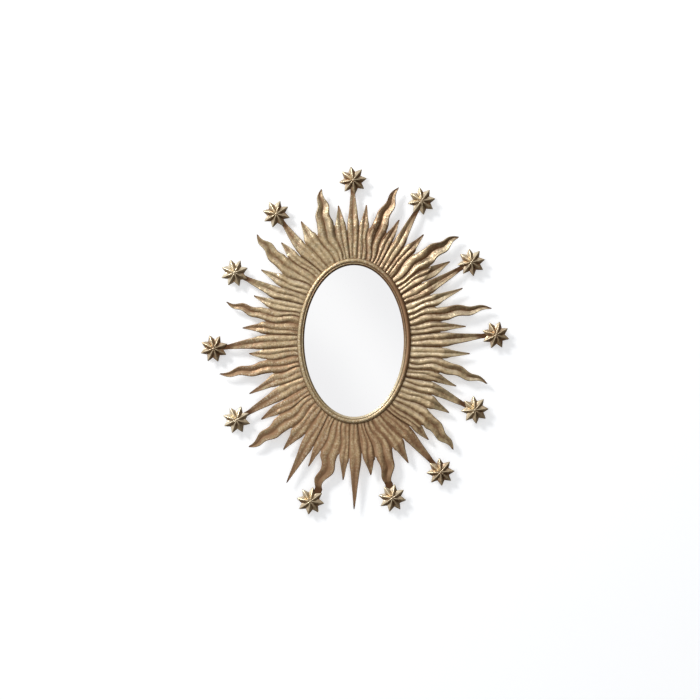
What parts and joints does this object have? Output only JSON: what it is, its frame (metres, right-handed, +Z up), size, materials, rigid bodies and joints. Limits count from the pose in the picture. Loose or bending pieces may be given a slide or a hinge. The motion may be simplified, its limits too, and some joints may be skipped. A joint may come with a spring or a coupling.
{
  "type": "wall mirror",
  "caption": "Oval wall mirror in a beaded rim, inside a sunburst of hammered gold sheet-metal rays with wavy flames between straight points and faceted stars at their ends.",
  "frame": {"origin": "middle of the oval glass, on the wall plane that the rubber bumpers touch", "axes": "+X to the viewer's right, +Z up, and -Y out from the wall towards the viewer"},
  "size_m": [0.771, 0.0324, 0.8705],
  "materials": {
    "old_gold": "hammered sheet under an old gold wash, with brown patina in the creases",
    "star_gold": "the same sheet, rubbed brighter on the ridges",
    "rim_gold": "hand-raised moulding, old gold with brown in its groove",
    "mirror_glass": "silvered flat glass",
    "hardboard": "thin brown hardboard",
    "plain_brass": "unpolished sheet with a brown patina",
    "ring_wire": "bent wire, worn bright",
    "rubber": "dark brown matte rubber"
  },
  "bodies": {
    "mirror": {"gore_01": "old_gold", "gore_02": "old_gold", "gore_03": "old_gold", "gore_04": "old_gold", "gore_05": "old_gold", "gore_06": "old_gold", "gore_07": "old_gold", "gore_08": "old_gold", "gore_09": "old_gold", "gore_10": "old_gold", "gore_11": "old_gold", "gore_12": "old_gold", "star_01": "star_gold", "star_02": "star_gold", "star_03": "star_gold", "star_04": "star_gold", "star_05": "star_gold", "star_06": "star_gold", "star_07": "star_gold", "star_08": "star_gold", "star_09": "star_gold", "star_10": "star_gold", "star_11": "star_gold", "star_12": "star_gold", "rim": "rim_gold", "mirror_glass": "mirror_glass", "backing_board": "hardboard", "board_tabs": "plain_brass", "pan": "plain_brass", "rear_hoop": "plain_brass", "hanger_straps": "plain_brass", "wall_bumpers": "rubber"},
    "hanger_ring_left_body": {"hanger_ring_left": "ring_wire"},
    "hanger_ring_right_body": {"hanger_ring_right": "ring_wire"}
  },
  "joints": [
    {"name": "hanger_ring_left_swing", "type": "hinge", "parent": "mirror", "child": "hanger_ring_left_body", "pos_m": [-0.06629, -0.0042, 0.17506], "axis": [1, 0, 0], "range_deg": [-5, 175]},
    {"name": "hanger_ring_right_swing", "type": "hinge", "parent": "mirror", "child": "hanger_ring_right_body", "pos_m": [0.06629, -0.0042, 0.17506], "axis": [1, 0, 0], "range_deg": [-5, 175]}
  ]
}
